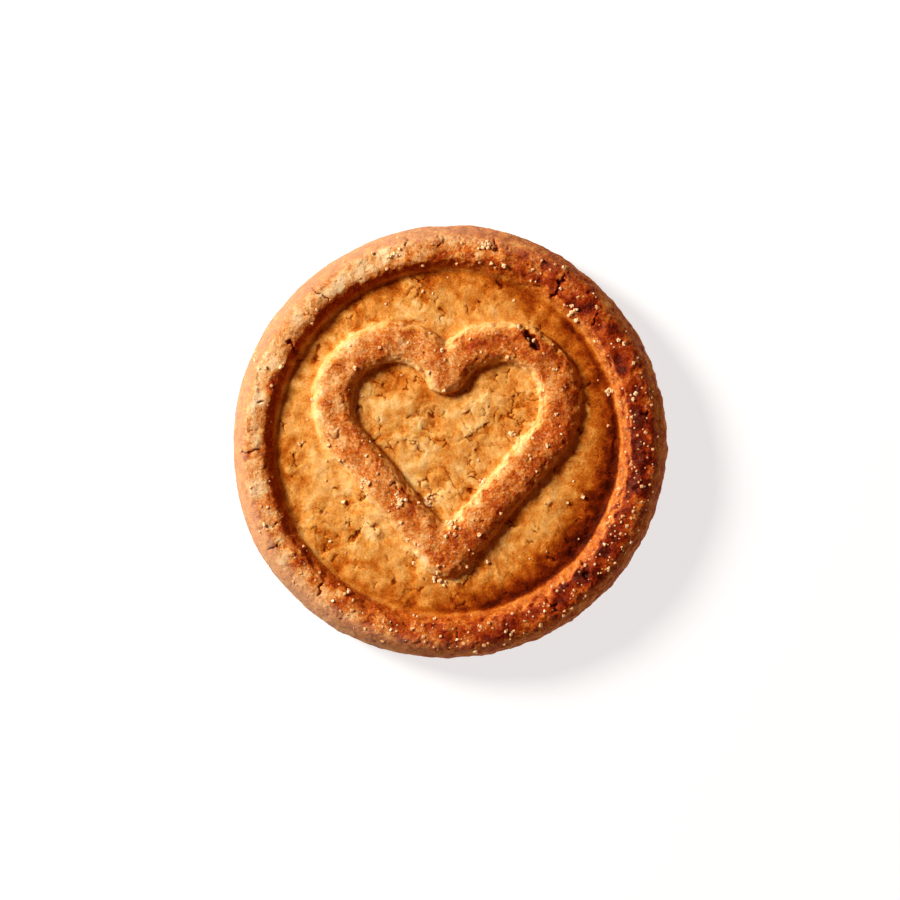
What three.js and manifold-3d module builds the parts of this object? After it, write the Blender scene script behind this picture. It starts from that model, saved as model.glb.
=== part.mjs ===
// A round shortbread biscuit: one piece of dough, pressed in a mould and baked.
// A thick disc carries a rounded rim, a shallow dish inside the rim, and the outline
// of a heart that stands up out of the dish. Millimetres, +Z up, flat base on z = 0,
// origin under the middle of the biscuit, +Y towards the heart's lobes.
import * as THREE from "three";
import { mergeVertices } from "three/addons/utils/BufferGeometryUtils.js";
import Module from "manifold-3d";

const wasm = await Module();
wasm.setup();

// ---- driving dimensions ---------------------------------------------------
const DIAMETER = 65;
const THICKNESS = 9.5; // base to the crest of the rim
const BULGE_HEIGHT = 3.2; // where the side is furthest out
const BASE_INSET = 1.4; // how far the base's edge lies inside the bulge
const RIM_WIDTH = 6.9; // outside of the biscuit to the foot of the inner wall
const CREST_INSET = 2.7; // outside of the biscuit to where the crest levels out
const WALL_RUN = 1.9; // how far the inner wall leans outwards as it climbs
const LIP_SHARE = 0.25; // share of the wall that rounds over into the crest
const FOOT_SHARE = 0.15; // share of the wall that rounds into the dish
const DISH_DEPTH = 2.4; // crest of the rim to the foot of its inner wall
const DOME = 0.25; // how far the dish swells towards its middle
const DISH_SHIFT = -0.5; // the mould's middle lies a little towards -X

const HEART_SPREAD = 8; // middle of each lobe to the heart's line of symmetry
const HEART_LOBE = 9; // radius of a lobe, along the middle of the stroke
const HEART_RISE = 6; // middles of the lobes above the middle of the dish
const HEART_SLANT = -40; // direction that the right-hand straight side faces, degrees
const HEART_STROKE = 6.3; // width of the raised stroke at its foot
const HEART_CREST = 9.25; // top of the stroke above the base
const STROKE_LEAN = 2.1; // how far the stroke's sides round in as they climb
const STROKE_DROP = 2; // height over which they do
const TIP_ROUND = 4; // radius of the heart's point, outside the stroke
const INNER_TIP_ROUND = 0.9; // and inside it
const HEART_ROOT = 3; // height inside the disc at which the stroke starts

// Baked dough is never quite round or level. Each wave rises this many times in a turn,
// by this share of the radius or height, first at this bearing from +X in degrees.
const OUTLINE_WAVES = [
  { rises: 2, share: 0.005, bearing: 38 },
  { rises: 3, share: 0.004, bearing: 98 },
  { rises: 5, share: 0.002, bearing: 75 },
];
const HEIGHT_WAVES = [
  { rises: 1, share: 0.014, bearing: -35 },
  { rises: 3, share: 0.01, bearing: 20 },
];

const ROUND_STEPS = 96; // facets round the biscuit
const CURVE_STEPS = 5; // facets along each bend of the disc's section
const HEART_STEPS = 12; // facets in half of each bend of the heart
const SIDE_STEPS = 5; // facets up the stroke's rounded side
const SAME_POINT = 0.001; // points nearer than this are one point

const radius = DIAMETER / 2;
const dishFloor = THICKNESS - DISH_DEPTH;

// ---- the disc with its rim and dish ----------------------------------------
// Half of the section, from the middle of the base out over the rim to the middle of
// the dish. The inner wall is straight between two rounded corners.
function discSection() {
  const wallHead = new THREE.Vector2(radius - RIM_WIDTH + WALL_RUN, THICKNESS);
  const wallFoot = new THREE.Vector2(radius - RIM_WIDTH, dishFloor);
  const lipEnd = wallHead.clone().lerp(wallFoot, LIP_SHARE);
  const filletStart = wallFoot.clone().lerp(wallHead, FOOT_SHARE);
  const filletEnd = wallFoot.x - WALL_RUN * FOOT_SHARE;
  const crest = radius - CREST_INSET;
  const section = new THREE.Path();
  section.moveTo(0, 0);
  section.lineTo(radius - BASE_INSET, 0);
  section.quadraticCurveTo(radius, 0, radius, BULGE_HEIGHT);
  section.absellipse(crest, BULGE_HEIGHT, CREST_INSET, THICKNESS - BULGE_HEIGHT, 0, Math.PI / 2);
  section.quadraticCurveTo(wallHead.x, wallHead.y, lipEnd.x, lipEnd.y);
  section.lineTo(filletStart.x, filletStart.y);
  section.quadraticCurveTo(wallFoot.x, wallFoot.y, filletEnd, dishFloor);
  section.quadraticCurveTo(filletEnd / 2, dishFloor + DOME, 0, dishFloor + DOME);
  return section;
}

function discGeometry() {
  const profile = discSection().getPoints(CURVE_STEPS);
  return new THREE.LatheGeometry(profile, ROUND_STEPS).rotateX(Math.PI / 2);
}

// ---- the heart ----------------------------------------------------------------
// One edge of the stroke: the heart's middle line moved outwards by reach, or inwards
// where reach is negative. Lobes and tip are arcs, and straight lines touch them both.
function heartEdge(reach) {
  const slant = THREE.MathUtils.degToRad(HEART_SLANT);
  const lobe = HEART_LOBE + reach;
  const tip = reach > 0 ? TIP_ROUND : INNER_TIP_ROUND;
  const lobeAlongSlant = HEART_SPREAD * Math.cos(slant) + HEART_RISE * Math.sin(slant);
  const tipMiddle = (lobeAlongSlant + lobe - tip) / Math.sin(slant);
  const meeting = reach > 0 ? lobe : HEART_LOBE; // radius of the lobes where they meet
  const cleft = Math.sqrt(meeting ** 2 - HEART_SPREAD ** 2);
  const toCleft = Math.atan2(cleft, -HEART_SPREAD);
  const edge = new THREE.Path();
  edge.absarc(HEART_SPREAD, HEART_RISE, lobe, toCleft, slant, true);
  edge.absarc(0, tipMiddle, tip, slant, -Math.PI - slant, true);
  edge.absarc(-HEART_SPREAD, HEART_RISE, lobe, Math.PI - slant, Math.PI - toCleft, true);
  if (reach < 0) {
    edge.absarc(0, HEART_RISE + cleft, -reach, -toCleft, toCleft - Math.PI, false);
  }
  const points = edge.getPoints(HEART_STEPS).reverse();
  return points.filter((point, i) => point.distanceTo(points[(i + 1) % points.length]) > SAME_POINT);
}

function heartGeometry() {
  const stroke = new THREE.Shape(heartEdge(HEART_STROKE / 2));
  stroke.holes.push(new THREE.Path(heartEdge(-HEART_STROKE / 2)));
  const heart = new THREE.ExtrudeGeometry(stroke, {
    depth: HEART_CREST - HEART_ROOT - 2 * STROKE_DROP,
    bevelThickness: STROKE_DROP,
    bevelSize: STROKE_LEAN,
    bevelOffset: -STROKE_LEAN,
    bevelSegments: SIDE_STEPS,
  });
  return heart.translate(0, 0, HEART_ROOT + STROKE_DROP);
}

// ---- one piece of dough ---------------------------------------------------------
function solidOf(geometry) {
  geometry.deleteAttribute("normal");
  geometry.deleteAttribute("uv");
  const merged = mergeVertices(geometry, SAME_POINT);
  const vertProperties = merged.attributes.position.array;
  const triVerts = new Uint32Array(merged.index.array);
  return new wasm.Manifold(new wasm.Mesh({ numProp: 3, vertProperties, triVerts }));
}

function geometryOf(solid) {
  const mesh = solid.getMesh();
  const geometry = new THREE.BufferGeometry();
  geometry.setAttribute("position", new THREE.BufferAttribute(mesh.vertProperties, 3));
  geometry.setIndex(new THREE.BufferAttribute(mesh.triVerts, 1));
  return geometry;
}

function sumOfWaves(waves, bearing) {
  const first = (wave) => THREE.MathUtils.degToRad(wave.bearing);
  return waves.reduce((sum, wave) => sum + wave.share * Math.cos(wave.rises * (bearing - first(wave))), 0);
}

// The waves are full at the outside and die away towards the middle, and the mould's
// shift does the opposite. The base stays flat, and the outline ends up centred.
function letItBake(geometry) {
  const place = geometry.attributes.position;
  for (let i = 0; i < place.count; i++) {
    const x = place.getX(i);
    const y = place.getY(i);
    const bearing = Math.atan2(y, x);
    const outness = (Math.hypot(x, y) / radius) ** 2;
    const swell = 1 + outness * sumOfWaves(OUTLINE_WAVES, bearing);
    const rise = 1 + outness * sumOfWaves(HEIGHT_WAVES, bearing);
    const shift = DISH_SHIFT * (1 - outness ** 2);
    place.setXYZ(i, x * swell + shift, y * swell, place.getZ(i) * rise);
  }
  geometry.computeBoundingBox();
  const middle = geometry.boundingBox.getCenter(new THREE.Vector3());
  geometry.translate(-middle.x, -middle.y, 0);
  geometry.computeVertexNormals();
  return geometry;
}

const crust = new THREE.MeshStandardMaterial({
  color: new THREE.Color().setRGB(0.78, 0.47, 0.22, THREE.SRGBColorSpace),
  roughness: 0.75,
  metalness: 0,
});

const dough = solidOf(discGeometry()).add(solidOf(heartGeometry()));
const biscuit = new THREE.Mesh(letItBake(geometryOf(dough)), crust);
biscuit.name = "biscuit";

const part = new THREE.Group();
part.add(biscuit);

export default part;
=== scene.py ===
"""A moulded round shortbread biscuit with a raised heart, sugared and lightly crumbed."""

import math
import random

import bmesh
import bpy
import numpy as np
from mathutils import Matrix, Vector, noise
from mathutils.bvhtree import BVHTree


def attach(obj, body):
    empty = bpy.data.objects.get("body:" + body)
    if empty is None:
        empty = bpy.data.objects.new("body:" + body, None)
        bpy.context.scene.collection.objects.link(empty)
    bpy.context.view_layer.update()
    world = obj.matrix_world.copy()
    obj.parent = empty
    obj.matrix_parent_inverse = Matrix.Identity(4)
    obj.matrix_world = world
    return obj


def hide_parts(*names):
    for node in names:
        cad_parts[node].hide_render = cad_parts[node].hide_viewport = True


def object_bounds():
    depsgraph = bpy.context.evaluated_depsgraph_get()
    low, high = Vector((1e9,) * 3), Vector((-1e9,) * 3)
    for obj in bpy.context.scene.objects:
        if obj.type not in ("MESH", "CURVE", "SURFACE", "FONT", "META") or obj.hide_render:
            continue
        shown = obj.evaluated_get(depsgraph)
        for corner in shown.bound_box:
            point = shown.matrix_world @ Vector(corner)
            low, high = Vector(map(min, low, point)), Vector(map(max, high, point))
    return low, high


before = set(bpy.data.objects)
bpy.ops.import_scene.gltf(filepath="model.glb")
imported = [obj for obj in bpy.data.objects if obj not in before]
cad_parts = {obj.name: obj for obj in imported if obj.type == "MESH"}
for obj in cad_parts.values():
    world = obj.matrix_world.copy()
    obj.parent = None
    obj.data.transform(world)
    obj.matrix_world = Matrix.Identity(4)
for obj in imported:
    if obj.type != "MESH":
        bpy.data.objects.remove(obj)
cad_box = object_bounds()

# ---------------------------------------------------------------------------
# Camera
# It hangs straight above the biscuit on a long lens, so the outline shows with
# almost no perspective. +Y is up in the picture.
# ---------------------------------------------------------------------------
MM = 0.001
CAMERA_HEIGHT = 600 * MM
CAMERA_DOWN = -1.25 * MM  # the biscuit sits this far above the picture's middle
PICTURE_WIDTH = 135.2 * MM
SENSOR_WIDTH = 36  # Blender gives sensors and lenses in millimetres
NEAREST_SEEN = 10 * MM

widest_level = (cad_box[0][2] + cad_box[1][2]) / 3  # the side bulges most a third of the way up
camera_data = bpy.data.cameras.new("overhead")
camera_data.sensor_width = SENSOR_WIDTH
camera_data.lens = SENSOR_WIDTH * (CAMERA_HEIGHT - widest_level) / PICTURE_WIDTH
camera_data.clip_start = NEAREST_SEEN
camera = bpy.data.objects.new("overhead", camera_data)
camera.location = (0, CAMERA_DOWN, CAMERA_HEIGHT)
bpy.context.scene.collection.objects.link(camera)
bpy.context.scene.camera = camera

# ---------------------------------------------------------------------------
# The biscuit
# One piece of buttery dough, pressed into a mould that leaves a rounded rim, a
# shallow dish and a raised heart, then baked until it browns, flakes and cracks.
# The heat was strongest on the +X side, so the crust is darker there.
# Slopes and walls turned from the lamp, and the hollows, are also painted darker, as shade.
# ---------------------------------------------------------------------------
SKIN_STEP = 0.16  # mm between the points of the fine skin
SKIN_TRIANGLES = 190_000  # what the fine skin is thinned to
SAME_POINT = 0.0001 * MM  # corners nearer than this are one

# The biscuit's form in millimetres, and its rim as distances from the dish's middle.
RADIUS = 32.5
CREST_RADIUS = 28.5  # middle of the rim's crest
RIM_FOOT = 25.3  # where the rim's inner wall rises from the dish
DISH_MIDDLE = -0.5  # along X
DISH_FLOOR = 7.2  # above the base, as is the crest
CREST = 9.3

# Cracks across the rim: bearing from +X in degrees, then in millimetres how far from
# the middle they begin and end, how far they slant along the rim, and half their width.
RIM_CRACKS = [
    (131, 26.6, 31.0, 1.6, 0.16),
    (149, 25.8, 28.8, -0.9, 0.19),
    (168, 28.2, 29.3, 0.2, 0.15),
    (183, 27.8, 31.4, 0.3, 0.13),
    (205, 27.6, 31.6, -0.5, 0.12),
    (211, 29.2, 31.8, 0.4, 0.15),
    (229, 28.0, 30.5, 0.5, 0.2),
    (272, 27.5, 30.4, 0.4, 0.12),
    (302, 26.0, 30.6, 1.2, 0.15),
    (316, 25.8, 30.2, -1.5, 0.2),
    (8, 28.6, 30.2, 0.3, 0.24),
    (40, 27.0, 29.4, 1.4, 0.16),
    (55, 25.4, 30.6, 0.9, 0.22),
    (77, 28.6, 31.4, 0.8, 0.14),
    (102, 29.4, 31.6, -0.8, 0.13),
]
CRACK_RAGGED = 0.6  # how far their sides wander
# A split near the top of the right-hand lobe, torn open, its inside painted darker as shade.
SPLIT_PLACE = Vector((12.2, 15.2))
SPLIT_LENGTH = 4.4
SPLIT_WIDTH = 1.7
SPLIT_TURN = math.radians(-55)
SPLIT_RAGGED = 0.55
# How deep the marks in the crust go, in millimetres.
SPLIT_DEPTH = 0.9
RIM_CRACK_DEPTH = 0.48
HAIRLINE_DEPTH = 0.2
PIT_DEPTH = 0.16
CREASE_DEPTH = 0.15
# Where the rim and the dish are browned most, where the rim is browned least, and where the rim's
# shadow is painted on the dish, as bearings from +X.
# The hot side lies away from the lamp, so what turns towards it is also painted darker, as shade.
HOT_SIDE = math.radians(-12)
DISH_HOT_SIDE = math.radians(-42)
COOL_SIDE = math.radians(115)
RIM_SHADOW_SIDE = math.radians(155)


def step(low, high, value):
    """0 up to low, 1 from high on and smooth between them. Low may be the larger number."""
    share = np.clip((value - low) / (high - low), 0, 1)
    return share * share * (3 - 2 * share)


def ripples(places, wavelength, octaves=1, seed=0):
    """Smooth random swells, from about -1 to 1, this many millimetres long."""
    shift = Vector((7.3, 3.1, 5.7)) * seed
    return np.array([
        noise.fractal(Vector(place) + shift, 1.0, 2.0, octaves)
        for place in (places / wavelength).tolist()
    ])


noise.seed_set(1)  # without it the plates would tilt another way each run


def plates(places, size, seed):
    """Random flat plates: how high and tilted each lies, and how near its edge is."""
    shift = Vector((3.7, 9.1, 1.3)) * seed
    lie = np.empty(len(places))
    edge = np.empty(len(places))
    for i, place in enumerate((places / size).tolist()):
        here = Vector(place) + shift
        distances, middles = noise.voronoi(here)
        middle = middles[0]
        tilt = noise.noise_vector(middle * 4.1)
        lie[i] = noise.noise(middle * 6.7) + (here - middle).dot(tilt)
        edge[i] = distances[1] - distances[0]
    return lie, edge


def flakes(swells, layers):
    """Turns smooth swells into thin layers: their level, and how near a layer's edge is."""
    climb = swells * layers
    share = climb - np.floor(climb)
    level = (np.floor(climb) + step(0.88, 0.97, share)) / layers
    below_edge = step(0.76, 0.86, share) * (1 - step(0.88, 0.93, share))
    return level, below_edge


def dots(places, spacing, share, seed):
    """Distance in millimetres to the nearest of some scattered points, far where none is."""
    shift = Vector((2.9, 4.3, 8.7)) * seed
    reach = np.full(len(places), 10.0)
    for i, place in enumerate((places / spacing).tolist()):
        distances, middles = noise.voronoi(Vector(place) + shift)
        if noise.cell(middles[0] * 9.7) < share:
            reach[i] = distances[0] * spacing
    return reach


def apply_modifiers(piece):
    """Works a piece's modifiers into its mesh."""
    evaluated = piece.evaluated_get(bpy.context.evaluated_depsgraph_get())
    worked = bpy.data.meshes.new_from_object(evaluated)
    piece.modifiers.clear()
    piece.data = worked


def fine_skin(node):
    """A copy of a node's surface, made of small even faces."""
    solid = bmesh.new()
    solid.from_mesh(node.data)
    bmesh.ops.remove_doubles(solid, verts=solid.verts, dist=SAME_POINT)
    mesh = bpy.data.meshes.new("biscuit skin")
    solid.to_mesh(mesh)
    solid.free()
    piece = bpy.data.objects.new("biscuit skin", mesh)
    bpy.context.scene.collection.objects.link(piece)
    remesh = piece.modifiers.new("even faces", "REMESH")
    remesh.mode = "VOXEL"
    remesh.voxel_size = SKIN_STEP * MM
    smooth = piece.modifiers.new("soften", "SMOOTH")
    smooth.iterations = 3
    apply_modifiers(piece)
    return piece


def points_of(mesh):
    """Where a mesh's points are, in millimetres, one row each."""
    places = np.empty(len(mesh.vertices) * 3, np.float32)
    mesh.vertices.foreach_get("co", places)
    return places.reshape(-1, 3).astype(float) / MM


def normals_of(mesh):
    """Which way a mesh's surface faces at each point."""
    normals = np.empty(len(mesh.vertices) * 3, np.float32)
    mesh.vertex_normals.foreach_get("vector", normals)
    return normals.reshape(-1, 3).astype(float)


def move_points(mesh, places):
    """Puts a mesh's points at these places, none of them below the table."""
    places[:, 2] = np.maximum(places[:, 2], 0)
    mesh.vertices.foreach_set("co", (places * MM).astype(np.float32).ravel())
    mesh.update()


def rim_cracks(places, ragged):
    """How deep each point lies in a crack across the rim, 0 to 1."""
    radius = np.hypot(places[:, 0], places[:, 1])
    bearing = np.arctan2(places[:, 1], places[:, 0])
    depth = np.zeros(len(places))
    for degrees, inner, outer, slant, half_width in RIM_CRACKS:
        along = (radius - inner) / (outer - inner)
        turn = np.angle(np.exp(1j * (bearing - math.radians(degrees))))
        across = radius * turn - slant * (along - 0.5) + ragged * CRACK_RAGGED
        open_here = step(-0.08, 0.25, along) * (1 - step(0.75, 1.08, along))
        gape = 0.9 * half_width * (0.35 + 0.65 * open_here)
        crack = np.exp(-(across / gape) ** 2) * open_here
        depth = np.maximum(depth, crack)
    return depth


def torn_split(places, ragged):
    """How deep each point lies in the torn split, 0 to 1."""
    away = places[:, :2] - np.array(SPLIT_PLACE)
    along = away @ np.array((math.cos(SPLIT_TURN), math.sin(SPLIT_TURN)))
    across = away @ np.array((-math.sin(SPLIT_TURN), math.cos(SPLIT_TURN)))
    reach = np.hypot(along / (SPLIT_LENGTH / 2), across / (SPLIT_WIDTH / 2)) + ragged * SPLIT_RAGGED
    return 1 - step(0.55, 1.05, reach)


# The skin is worked twice. First comes the slack form: swells all over, calmer at the
# edge, and lumps on the lips, the side and the rim that grow towards the hot side.
biscuit = fine_skin(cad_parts["biscuit"])
skin = biscuit.data
places = points_of(skin)
normals = normals_of(skin)
off_base = step(0.0, 1.0, places[:, 2])
dish_radius = np.hypot(places[:, 0] - DISH_MIDDLE, places[:, 1])
burnt_side = 0.5 + 0.5 * np.cos(np.arctan2(places[:, 1], places[:, 0]) - HOT_SIDE)
slack = 0.24 * ripples(places, 6, 2, seed=1) + 0.12 * ripples(places, 2.4, 2, seed=2)
slack *= 1 - 0.5 * step(RADIUS - 4, RADIUS - 2, np.hypot(places[:, 0], places[:, 1]))
on_lip = step(DISH_FLOOR + 0.4, DISH_FLOOR + 1.2, places[:, 2])
on_lip *= (1 - step(0.75, 0.97, normals[:, 2])) * (dish_radius < CREST_RADIUS)
slack += on_lip * (0.2 + 0.16 * burnt_side) * ripples(places, 1.5, 3, seed=3)
on_side = (1 - step(0.2, 0.8, np.abs(normals[:, 2]))) * (dish_radius > CREST_RADIUS - 0.5)
slack += on_side * burnt_side * 0.24 * ripples(places, 2.6, 2, seed=4)
rim_lumps = step(RIM_FOOT + 0.2, RIM_FOOT + 1.7, dish_radius) * (0.3 + 0.7 * burnt_side)
slack += rim_lumps * 0.2 * ripples(places, 2.0, 2, seed=29)
places += normals * (slack * off_base)[:, None]
move_points(skin, places)

# How far each point belongs to the dish's floor, a crest, the outside or a wall, 0 to 1.
normals = normals_of(skin)
facing_up = normals[:, 2]
dish_radius = np.hypot(places[:, 0] - DISH_MIDDLE, places[:, 1])
height = places[:, 2] + 0.15 * ripples(places, 1.1, 2, seed=5)
in_dish = 1 - step(RIM_FOOT - 0.7, RIM_FOOT + 0.9, dish_radius)
floor = in_dish * (1 - step(DISH_FLOOR + 0.5, DISH_FLOOR + 1.0, height))
levelled = step(0.68, 0.97, facing_up + 0.08 * ripples(places, 0.7, 2, seed=28))
crest = step(CREST - 1.3, CREST - 0.7, height) * levelled
outside = step(CREST_RADIUS + 0.5, CREST_RADIUS + 2, dish_radius) * step(-0.4, 0.2, facing_up)
wall = (1 - levelled) * step(DISH_FLOOR, DISH_FLOOR + 0.6, height) * (dish_radius < CREST_RADIUS)

# Then comes the fine relief. The dish lies in flakes and plates, and so do parts of the
# rim. The raised parts and the outside are grainy all over.
bent = places + 0.35 * np.stack([
    ripples(places, 0.9, 2, seed=6),
    ripples(places, 0.9, 2, seed=7),
    np.zeros(len(places)),
], axis=1)
broad_level, broad_edge = flakes(ripples(bent, 5.5, 2, seed=8), 3)
small_level, small_edge = flakes(ripples(bent, 2.4, 2, seed=20), 2)
rim_level, rim_edge = flakes(ripples(bent, 3.2, 2, seed=25), 2)
small_lie, small_split = plates(bent, 1.7, seed=1)
broad_lie, broad_split = plates(bent + 0.5 * (bent - places), 3.9, seed=2)
coarse_grain = ripples(places, 0.55, 2, seed=11)
flaking = floor * step(-0.2, 0.3, ripples(places, 6, 1, seed=22))
rim_flaking = crest * step(-0.1, 0.3, ripples(places, 5, 1, seed=26))
relief = flaking * (0.2 * broad_level + 0.12 * small_level + 0.17 * broad_lie)
relief += floor * (0.08 * ripples(places, 1.7, 3, seed=23) + 0.06 * small_lie)
relief += floor * 0.045 * coarse_grain
relief += 0.24 * rim_flaking * rim_level
relief += (crest + 0.8 * outside) * (0.08 * coarse_grain + 0.06 * small_lie)
relief += wall * (0.06 * ripples(places, 0.9, 2, seed=12) + 0.04 * coarse_grain)

# Hairlines open along some edges of the flakes and between some plates.
some_edges = step(0.1, 0.4, ripples(places, 3.5, 1, seed=13))
other_edges = step(0.15, 0.45, ripples(places, 2.6, 1, seed=21))
hairline = flaking * np.maximum(0.8 * broad_edge * some_edges, 0.4 * small_edge * other_edges)
hairline = np.maximum(hairline, 0.8 * rim_flaking * rim_edge * some_edges)
crackled = floor * step(0.28, 0.5, ripples(places, 2.4, 2, seed=27))
hairline = np.maximum(hairline, 0.9 * (1 - step(0.03, 0.09, small_split)) * crackled)
parted = flaking * step(0.08, 0.3, ripples(places, 3.0, 2, seed=30))
hairline = np.maximum(hairline, (1 - step(0.012, 0.04, broad_split)) * parted)

# The rim is cracked across, one lobe is torn, and the dish is creased along the rim.
ragged = ripples(places, 0.9, 2, seed=9)
rim_crack = rim_cracks(places, ragged)
split = torn_split(places, ragged) * step(DISH_FLOOR + 0.3, DISH_FLOOR + 1.2, places[:, 2])
pit = 1 - step(0.14, 0.28, dots(places, 1.7, 0.2, seed=1))
pit *= np.clip(0.6 * floor + crest + outside, 0, 1)
crease = np.exp(-((dish_radius + 0.25 * ragged - RIM_FOOT) / 0.4) ** 2) * floor
relief -= (HAIRLINE_DEPTH * hairline + RIM_CRACK_DEPTH * rim_crack + PIT_DEPTH * pit
           + SPLIT_DEPTH * split + CREASE_DEPTH * crease)
places += normals * (relief * off_base)[:, None]
move_points(skin, places)

# How brown each part bakes by itself, 0 pale to 1 burnt.
FLOOR_TONE = 0.38
RIM_TONE = 0.61
HEART_TONE = 0.51
RIM_WALL_TONE = 0.62
HEART_WALL_TONE = 0.34
OUTSIDE_TONE = 0.59
UNDERSIDE_TONE = 0.52
DARKEST = 0.96


def towards(bearing, vectors):
    """How far vectors reach along a bearing from +X."""
    return vectors[:, 0] * math.cos(bearing) + vectors[:, 1] * math.sin(bearing)


# The heat browns the rim most, then the dish along the rim. What turns from the lamp is painted
# darker and what turns to it paler, as painted shade and light, and the dish on the lamp side
# carries a painted shadow of the rim.
# Raised flakes stay a little paler, and the hollows (split, pits, crease and cracks) are painted
# darker, as shade.
hot = towards(HOT_SIDE, places) / RADIUS
# How far a surface turns towards the hot side, which lies away from the lamp: below it paints shade
# on what turns from the lamp and light on what turns to it.
turned_from_lamp = towards(HOT_SIDE, normals)
dish_hot = step(0.4, 0.75, towards(DISH_HOT_SIDE, places) / RADIUS)
# Painted shadow: the dish along the rim on the lamp side, where the rim's shadow falls.
painted_rim_shadow = step(0.3, 0.65, towards(RIM_SHADOW_SIDE, places) / RADIUS)
on_rim = step(RIM_FOOT - 0.3, RIM_FOOT + 1.1, dish_radius)
near_rim = step(19, RIM_FOOT + 0.3, dish_radius)
# The crest's inner edge, which carries a painted lip shade.
lip_shade_band = step(CREST_RADIUS - 0.1, RIM_FOOT + 1.3, dish_radius)
# Both crests are painted darker where they slope from the lamp, as shade, and paler where they
# slope towards it, as light.
crest_tone = on_rim * (RIM_TONE + 0.36 * hot + 0.12 * turned_from_lamp)
crest_tone -= on_rim * 0.16 * step(0.45, 0.95, towards(COOL_SIDE, places) / RADIUS)
# The lip is painted darker on the lamp side, as shade where it turns from the lamp, and a little
# paler on the far side.
crest_tone += on_rim * lip_shade_band * (0.08 - 0.12 * hot)
crest_tone += (1 - on_rim) * (HEART_TONE + 0.12 * hot + 0.3 * turned_from_lamp)
floor_tone = FLOOR_TONE + 0.07 * hot
# Along the rim the dish browns, and on the lamp side it also takes the painted shadow of the rim.
floor_tone += near_rim * (0.18 + 0.18 * hot + 0.24 * dish_hot + 0.1 * painted_rim_shadow)
# The walls are painted darker where they turn from the lamp, as shade, and paler where they face
# it.
wall_tone = on_rim * (RIM_WALL_TONE + 0.09 * turned_from_lamp)
wall_tone += (1 - on_rim) * (HEART_WALL_TONE + 0.14 * turned_from_lamp)
tone = floor * floor_tone + crest * crest_tone + wall * wall_tone + outside * OUTSIDE_TONE
tone += 0.02 * (UNDERSIDE_TONE + 0.12 * hot)
tone /= floor + crest + wall + outside + 0.02
tone += (0.07 - 0.03 * wall) * ripples(places, 4.5, 3, seed=14)
tone += 0.10 * (floor + crest + 0.6 * wall + outside) * ripples(places, 1.3, 2, seed=24)
tone += 0.3 * crest * (0.4 + 0.6 * on_rim) * ripples(places, 2.7, 2, seed=31)
# Raised flakes are paler, and sunk places are painted darker, as shade in the hollows.
tone -= (0.8 * floor + 0.5 * crest) * relief
# The split, pits and crease are painted darker, as shade in hollows.
tone += 0.15 * split + 0.1 * pit + 0.1 * crease * (0.4 + hot)
tone = np.minimum(tone, DARKEST)


def keep(mesh, name, values):
    """Stores a value for each point, for the crust's material to read."""
    layer = mesh.attributes.new(name, "FLOAT", "POINT")
    layer.data.foreach_set("value", np.clip(values, 0, 1).astype(np.float32))


keep(skin, "bake", tone)
# Painted shade in the cracks, the split and along flake edges, for the material to darken.
keep(skin, "crack_shade", 0.75 * hairline + rim_crack + 0.3 * split)
keep(skin, "grainy", crest + 0.6 * outside + (0.2 + 0.5 * on_rim) * wall)
floury = outside * step(0.5, -0.6, hot) + 0.15 * wall * on_rim * step(0.2, 0.8, hot)
keep(skin, "floury", floury)

thin = biscuit.modifiers.new("thin out", "DECIMATE")
thin.ratio = min(1, SKIN_TRIANGLES / (2 * len(skin.polygons)))
apply_modifiers(biscuit)
biscuit.data.shade_smooth()


def new_material(name, roughness):
    """A material with one plain shader, and that shader."""
    material = bpy.data.materials.new(name)
    material.use_nodes = True
    shader = material.node_tree.nodes["Principled BSDF"]
    shader.inputs["Roughness"].default_value = roughness
    return material, shader


def linear(red, green, blue):
    """A colour given as 0-255 screen values, as the shader wants it."""
    def channel(value):
        value /= 255
        return value / 12.92 if value <= 0.04045 else ((value + 0.055) / 1.055) ** 2.4
    return (channel(red), channel(green), channel(blue), 1)


# From pale dough to burnt sugar, in the smooth dish and on the rough raised parts.
DISH_COLOURS = [
    (0.0, (250, 222, 164)),
    (0.2, (239, 195, 124)),
    (0.38, (222, 155, 72)),
    (0.55, (192, 106, 26)),
    (0.7, (152, 64, 10)),
    (0.85, (112, 33, 5)),
    (1.0, (60, 14, 4)),
]
RAISED_COLOURS = [
    (0.0, (247, 222, 180)),
    (0.2, (237, 196, 142)),
    (0.35, (223, 158, 90)),
    (0.5, (203, 112, 34)),
    (0.65, (170, 66, 9)),
    (0.8, (136, 39, 5)),
    (0.9, (108, 23, 4)),
    (1.0, (70, 12, 3)),
]
FLECK_COLOUR = (250, 208, 150)
FLOUR_COLOUR = (200, 166, 128)
# Painted shade in the cracks.
CRACK_SHADE_COLOUR = (150, 50, 18)  # the crust's own colour is multiplied by it
BUMP_HEIGHT = 0.2 * MM


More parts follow.
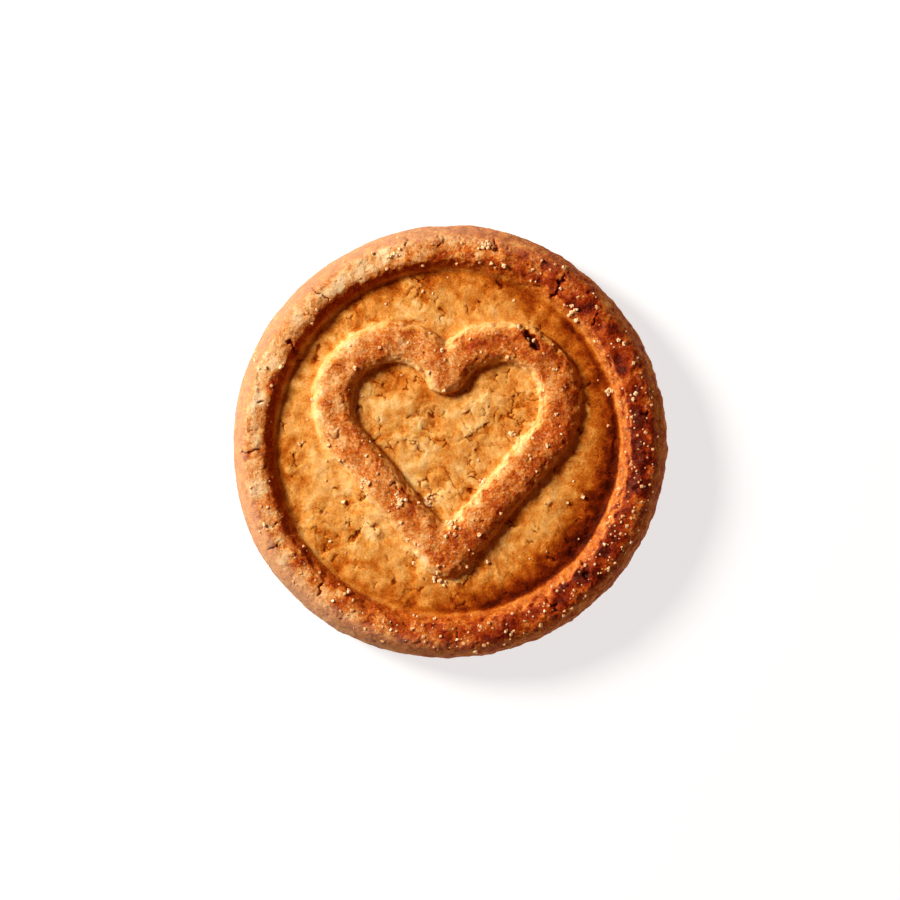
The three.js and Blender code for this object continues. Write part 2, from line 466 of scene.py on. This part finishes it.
def crust_material():
    """Baked dough: browned in two ways, mottled, flecked, dusted, bumpy, and painted darker in its
    cracks, as shade.
    """
    material, shader = new_material("baked crust", 0.6)
    nodes = material.node_tree.nodes
    links = material.node_tree.links

    def add(kind, **settings):
        """A new node with these settings."""
        node = nodes.new(kind)
        for key, value in settings.items():
            setattr(node, key, value)
        return node

    def connect(source, target):
        """Feeds a socket from another one, or sets it to a plain number."""
        if isinstance(source, (int, float)):
            target.default_value = source
        else:
            links.new(source, target)

    def sum_up(operation, *values):
        """One step of arithmetic on sockets and plain numbers."""
        node = add("ShaderNodeMath", operation=operation)
        for value, socket in zip(values, node.inputs):
            connect(value, socket)
        return node.outputs[0]

    def grain(size, detail, roughness=0.5):
        """Noise whose lumps are about this many millimetres across."""
        node = add("ShaderNodeTexNoise")
        node.inputs["Scale"].default_value = 1 / (size * MM)
        node.inputs["Detail"].default_value = detail
        node.inputs["Roughness"].default_value = roughness
        links.new(place, node.inputs["Vector"])
        return node.outputs["Fac"]

    def between(low, high, value):
        """0 up to low, 1 from high on and smooth between them, as step does for arrays."""
        node = add("ShaderNodeMapRange", interpolation_type="SMOOTHSTEP")
        node.inputs["From Min"].default_value = low
        node.inputs["From Max"].default_value = high
        links.new(value, node.inputs["Value"])
        return node.outputs["Result"]

    def mixed(blend, share, under, over):
        """A colour with this share of another one over it."""
        node = add("ShaderNodeMix", data_type="RGBA", blend_type=blend)
        connect(share, node.inputs["Factor"])
        links.new(under, node.inputs["A"])
        if isinstance(over, tuple):
            node.inputs["B"].default_value = linear(*over)
        else:
            links.new(over, node.inputs["B"])
        return node.outputs["Result"]

    place = add("ShaderNodeTexCoord").outputs["Object"]
    bake = add("ShaderNodeAttribute", attribute_name="bake").outputs["Fac"]
    crack_shade = add("ShaderNodeAttribute", attribute_name="crack_shade").outputs["Fac"]
    grainy = add("ShaderNodeAttribute", attribute_name="grainy").outputs["Fac"]
    floury = add("ShaderNodeAttribute", attribute_name="floury").outputs["Fac"]

    def coloured(level, colours):
        """The colour that belongs to each level."""
        ramp = add("ShaderNodeValToRGB")
        links.new(level, ramp.inputs["Fac"])
        stops = ramp.color_ramp.elements
        for stop, (position, colour) in zip((stops[0], stops[1]), (colours[0], colours[-1])):
            stop.position = position
            stop.color = linear(*colour)
        for position, colour in colours[1:-1]:
            stops.new(position).color = linear(*colour)
        return ramp.outputs["Color"]

    fine = grain(0.28, 2, 0.6)
    speck = grain(0.5, 3, 0.6)
    mottle = grain(1.6, 4)
    shade = sum_up("MULTIPLY_ADD", mottle, 0.5, bake)
    shade = sum_up("MULTIPLY_ADD", fine, sum_up("MULTIPLY_ADD", grainy, 0.1, 0.35), shade)
    shade = sum_up("MULTIPLY_ADD", speck, sum_up("MULTIPLY", grainy, 0.4), shade)
    shade = sum_up("SUBTRACT", shade, 0.425)
    level = sum_up("MULTIPLY_ADD", grainy, -0.25, shade)

    colour = mixed("MIX", grainy, coloured(level, DISH_COLOURS), coloured(level, RAISED_COLOURS))
    flecks = between(0.54, 0.62, grain(0.42, 3, 0.65))
    flecks = sum_up("MULTIPLY", flecks, sum_up("MULTIPLY", grainy, 0.4))
    flecks = sum_up("MULTIPLY", flecks, between(0.8, 0.4, bake))
    colour = mixed("MIX", flecks, colour, FLECK_COLOUR)
    colour = mixed("MIX", sum_up("MULTIPLY", floury, 0.5), colour, FLOUR_COLOUR)
    # Painted shade: the crust is darkened in its cracks, its split and along flake edges.
    colour = mixed("MULTIPLY", crack_shade, colour, CRACK_SHADE_COLOUR)
    links.new(colour, shader.inputs["Base Color"])

    dull = sum_up("MULTIPLY_ADD", grainy, 0.08, 0.62)
    roughness = sum_up("MULTIPLY_ADD", between(0.35, 0.9, bake), -0.28, dull)
    links.new(roughness, shader.inputs["Roughness"])

    bump = add("ShaderNodeBump")
    bump.inputs["Strength"].default_value = 1.0
    bump.inputs["Distance"].default_value = BUMP_HEIGHT
    height = sum_up("MULTIPLY", speck, sum_up("MULTIPLY_ADD", grainy, 0.35, 0.35))
    height = sum_up("MULTIPLY_ADD", fine, sum_up("MULTIPLY_ADD", grainy, 0.1, 0.4), height)
    links.new(height, bump.inputs["Height"])
    links.new(bump.outputs["Normal"], shader.inputs["Normal"])

    shader.inputs["Subsurface Weight"].default_value = 0.4
    shader.inputs["Subsurface Radius"].default_value = (1.0, 0.34, 0.08)
    shader.inputs["Subsurface Scale"].default_value = 0.8 * MM
    gloss = sum_up("MULTIPLY_ADD", between(0.65, 0.95, grainy), 0.11, 0.02)
    links.new(gloss, shader.inputs["Specular IOR Level"])
    shader.inputs["Specular Tint"].default_value = (1, 0.62, 0.4, 1)
    return material


biscuit.name = "shortbread"
biscuit.data.materials.clear()
biscuit.data.materials.append(crust_material())
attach(biscuit, "root")
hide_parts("biscuit")

# ---------------------------------------------------------------------------
# Sugar
# Granulated sugar, strewn on before baking. The crystals are little blunt cubes,
# sunk in the crust of the rim and the heart, most of them on the hot side.
# ---------------------------------------------------------------------------
SUGAR_COUNT = 360
SUGAR_SIZES = (0.17, 0.6)  # mm across
SUGAR_SUNK = (0.45, 0.75)  # share of a crystal below the crust
SUGAR_BLUNT = 0.14  # share of a crystal's size taken off its edges
SUGAR_SIDE = HOT_SIDE - 0.6  # bearing where it lies thickest
SUGAR_COLOUR = (232, 178, 122)
ABOVE = cad_box[1][2] + 5 * MM  # where scattered grains start to fall
LOWEST_GRAIN = 4 * MM  # grains that land lower on the side fall off
DOWN = Vector((0, 0, -1))


def crust_tree():
    """The crust's surface, for finding where something falls on it."""
    whole = bmesh.new()
    whole.from_mesh(biscuit.data)
    tree = BVHTree.FromBMesh(whole)
    whole.free()
    return tree


def landing_spots(count, likely, draw, tree):
    """Where scattered grains come to rest on the crust: places and the crust's normals."""
    reach = RADIUS + 0.5
    spots = []
    while len(spots) < count:
        x = draw.uniform(-reach, reach)
        y = draw.uniform(-reach, reach)
        place, normal, _, _ = tree.ray_cast(Vector((x * MM, y * MM, ABOVE)), DOWN)
        if place is None or place.z < LOWEST_GRAIN:
            continue
        if draw.random() < likely(place / MM, normal):
            spots.append((place, normal))
    return spots


def sugar_likely(place, normal):
    """How likely sugar stays at a place, in millimetres, on a surface that faces this way."""
    too_steep = normal.z < 0.55
    on_crest = place.z > CREST - 0.9
    on_heart = place.xy.length < RIM_FOOT - 1.3
    on_floor = place.z < DISH_FLOOR + 1
    if too_steep:
        return 0
    if on_crest:
        out = place.x * math.cos(SUGAR_SIDE) + place.y * math.sin(SUGAR_SIDE)
        thick = 0.5 + 0.5 * out / RADIUS
        return (0.1 + 0.9 * thick ** 2) * (0.5 if on_heart else 1)
    return 0.03 if on_floor else 0.15


def scatter(name, spots, sunk, shape, draw):
    """Joins one shape, made anew for each spot and turned at random, into one piece."""
    heap = bmesh.new()
    for place, normal in spots:
        size, corners = shape(heap, draw)
        turn = Vector((draw.gauss(0, 1), draw.gauss(0, 1), draw.gauss(0, 1))).normalized()
        spin = Matrix.Rotation(draw.uniform(0, math.tau), 4, turn)
        lift = Matrix.Translation(place + normal * size * (0.5 - draw.uniform(*sunk)))
        bmesh.ops.transform(heap, matrix=lift @ spin, verts=corners)
    mesh = bpy.data.meshes.new(name)
    heap.to_mesh(mesh)
    heap.free()
    piece = bpy.data.objects.new(name, mesh)
    bpy.context.scene.collection.objects.link(piece)
    return piece


def crystal(heap, draw):
    """A blunt cube, a little longer one way."""
    size = draw.triangular(*SUGAR_SIZES, SUGAR_SIZES[0]) * MM
    corners = bmesh.ops.create_cube(heap, size=size)["verts"]
    edges = list({edge for corner in corners for edge in corner.link_edges})
    bmesh.ops.scale(heap, vec=(1, draw.uniform(0.7, 1), draw.uniform(0.7, 1.3)), verts=corners)
    blunt = bmesh.ops.bevel(heap, geom=edges, offset=size * SUGAR_BLUNT, affect="EDGES",
                            segments=1, profile=0.5, material=-1)
    return size, blunt["verts"]


def sugar_material():
    """Glossy crystals that light gets into, stained by the crust."""
    material, shader = new_material("sugar crystal", 0.25)
    shader.inputs["Base Color"].default_value = linear(*SUGAR_COLOUR)
    shader.inputs["Subsurface Weight"].default_value = 0.5
    shader.inputs["Subsurface Radius"].default_value = (1, 0.8, 0.6)
    shader.inputs["Subsurface Scale"].default_value = 0.3 * MM
    return material


resting = crust_tree()
sugar_draw = random.Random(11)
sugar_spots = landing_spots(SUGAR_COUNT, sugar_likely, sugar_draw, resting)
sugar = scatter("sugar", sugar_spots, SUGAR_SUNK, crystal, sugar_draw)
sugar.data.materials.append(sugar_material())
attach(sugar, "root")

# ---------------------------------------------------------------------------
# Crumbs
# Loose bits of pale dough, broken off along the edges of the heart and the rim.
# They lie where they fell, singly and in little heaps, stuck to the crust.
# ---------------------------------------------------------------------------
CRUMB_COUNT = 110
CRUMB_SIZES = (0.2, 0.66)  # mm across
CRUMB_SUNK = (0.2, 0.5)  # share of a crumb below the crust
CRUMB_RAGGED = 0.9  # how far its surface stands in and out, as a share of its radius
CRUMB_COLOUR = (248, 206, 152)
# Crumbs in little heaps: the heap's middle and spread in millimetres, and how many.
CRUMB_HEAPS = [
    (-7.6, -9.0, 0.5, 16),
    (-3.3, -9.2, 0.35, 12),
    (-12.8, -6.2, 0.4, 8),
    (0.2, -12.2, 0.35, 10),
    (-1.5, -20.6, 0.45, 10),
    (5.2, -6.2, 0.35, 7),
    (23.6, 7.4, 0.26, 14),
    (9.4, 1.2, 0.2, 7),
    (5.0, 29.2, 0.5, 9),
    (-8.2, 28.3, 0.7, 7),
    (18.6, 19.4, 0.35, 8),
    (-27.2, -12.6, 0.4, 7),
]


def crumb_likely(place, normal):
    """How likely a crumb lies at a place, in millimetres, on a surface that faces this way."""
    on_floor = place.z < DISH_FLOOR + 0.8
    on_slope = normal.z < 0.92 and math.hypot(place.x, place.y) < CREST_RADIUS + 1.5
    if on_floor:
        return 0.05
    return 0.8 if on_slope else 0.15


def crumb(heap, draw):
    """A ragged little lump."""
    size = draw.uniform(*CRUMB_SIZES) * MM
    corners = bmesh.ops.create_icosphere(heap, subdivisions=2, radius=size / 2)["verts"]
    shift = Vector((draw.uniform(0, 50), draw.uniform(0, 50), draw.uniform(0, 50)))
    for corner in corners:
        corner.co *= 1 + CRUMB_RAGGED * noise.noise(corner.co / size * 2.6 + shift)
    return size, corners


def crumb_material():
    """Dull pale dough, open enough for light to get into it."""
    material, shader = new_material("crumb", 0.85)
    shader.inputs["Base Color"].default_value = linear(*CRUMB_COLOUR)
    shader.inputs["Subsurface Weight"].default_value = 0.3
    shader.inputs["Subsurface Radius"].default_value = (1, 0.5, 0.25)
    shader.inputs["Subsurface Scale"].default_value = 0.4 * MM
    return material


crumb_draw = random.Random(5)
crumb_spots = landing_spots(CRUMB_COUNT, crumb_likely, crumb_draw, resting)
for x, y, spread, count in CRUMB_HEAPS:
    for _ in range(count):
        start = Vector((crumb_draw.gauss(x, spread) * MM, crumb_draw.gauss(y, spread) * MM, ABOVE))
        crumb_spots.append(resting.ray_cast(start, DOWN)[:2])
crumbs = scatter("crumbs", crumb_spots, CRUMB_SUNK, crumb, crumb_draw)
crumbs.data.materials.append(crumb_material())
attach(crumbs, "root")

# ---------------------------------------------------------------------------
# Floor and light
# A plain pale table that gives off some light of its own. One soft lamp stands at
# the upper left, and a weak warm glow from all round fills its shadows.
# ---------------------------------------------------------------------------
FLOOR_SIDE = 6.0
TABLE_GREY = (0.3, 0.3, 0.3, 1)
TABLE_GLOW = 0.74
bpy.ops.mesh.primitive_plane_add(size=FLOOR_SIDE)
table = bpy.context.object
table.name = "table"
table_material, table_shader = new_material("pale table", 0.9)
table_shader.inputs["Base Color"].default_value = TABLE_GREY
table_shader.inputs["Emission Color"].default_value = (1, 1, 1, 1)
table_shader.inputs["Emission Strength"].default_value = TABLE_GLOW
table.data.materials.append(table_material)

LAMP_BEARING = math.radians(151)  # from +X
LAMP_RISE = math.radians(35)  # above the table
LAMP_DISTANCE = 0.9
LAMP_SIZE = 0.28
LAMP_POWER = 14.4
LAMP_COLOUR = (1, 0.97, 0.92)

lamp_data = bpy.data.lights.new("soft lamp", "AREA")
lamp_data.shape = "DISK"
lamp_data.size = LAMP_SIZE
lamp_data.energy = LAMP_POWER
lamp_data.color = LAMP_COLOUR
lamp = bpy.data.objects.new("soft lamp", lamp_data)
towards_lamp = Vector((
    math.cos(LAMP_RISE) * math.cos(LAMP_BEARING),
    math.cos(LAMP_RISE) * math.sin(LAMP_BEARING),
    math.sin(LAMP_RISE),
))
lamp.location = towards_lamp * LAMP_DISTANCE
lamp.rotation_euler = towards_lamp.to_track_quat("Z", "Y").to_euler()
bpy.context.scene.collection.objects.link(lamp)

GLOW_COLOUR = (1, 0.42, 0.24, 1)
GLOW_STRENGTH = 0.14
world = bpy.data.worlds.new("room")
bpy.context.scene.world = world
world.use_nodes = True
glow = world.node_tree.nodes["Background"]
glow.inputs["Color"].default_value = GLOW_COLOUR
glow.inputs["Strength"].default_value = GLOW_STRENGTH

bpy.context.scene.view_settings.view_transform = "Standard"
bpy.context.scene.view_settings.look = "None"
